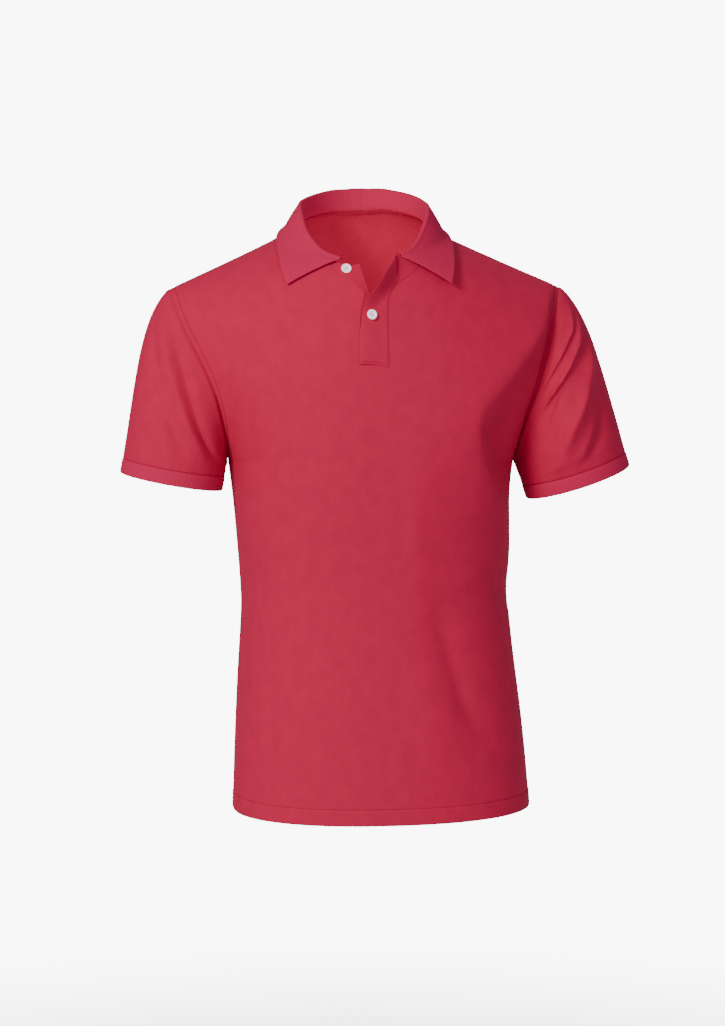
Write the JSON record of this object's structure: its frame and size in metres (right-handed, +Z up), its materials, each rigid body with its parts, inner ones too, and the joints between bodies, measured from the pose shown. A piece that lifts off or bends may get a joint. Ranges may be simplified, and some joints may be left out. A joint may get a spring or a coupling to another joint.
{
  "type": "polo shirt",
  "caption": "Short-sleeved knit polo shirt in its worn shape, hollow, with a folded ribbed collar and a partly open buttoned placket.",
  "frame": {"origin": "midway between the two points where the shoulder seams meet the neck, where the wearer's shoulders hold the shirt up", "axes": "+Z up, the front faces -Y, +X is the viewer's right seen from the front"},
  "size_m": [0.6164, 0.2555, 0.7492],
  "materials": {
    "knit": "crimson cotton piqué knit, matt with a faint sheen",
    "ribbing": "crimson flat-knit rib, slightly heathered",
    "button": "pearly white, polished"
  },
  "bodies": {
    "root": {"front": "knit", "back": "knit", "sleeve_left": "knit", "sleeve_right": "knit", "placket_over": "knit", "placket_under": "knit", "cuff_left": "ribbing", "cuff_right": "ribbing", "collar": "ribbing", "button_top": "button", "button_lower": "button"}
  },
  "joints": []
}
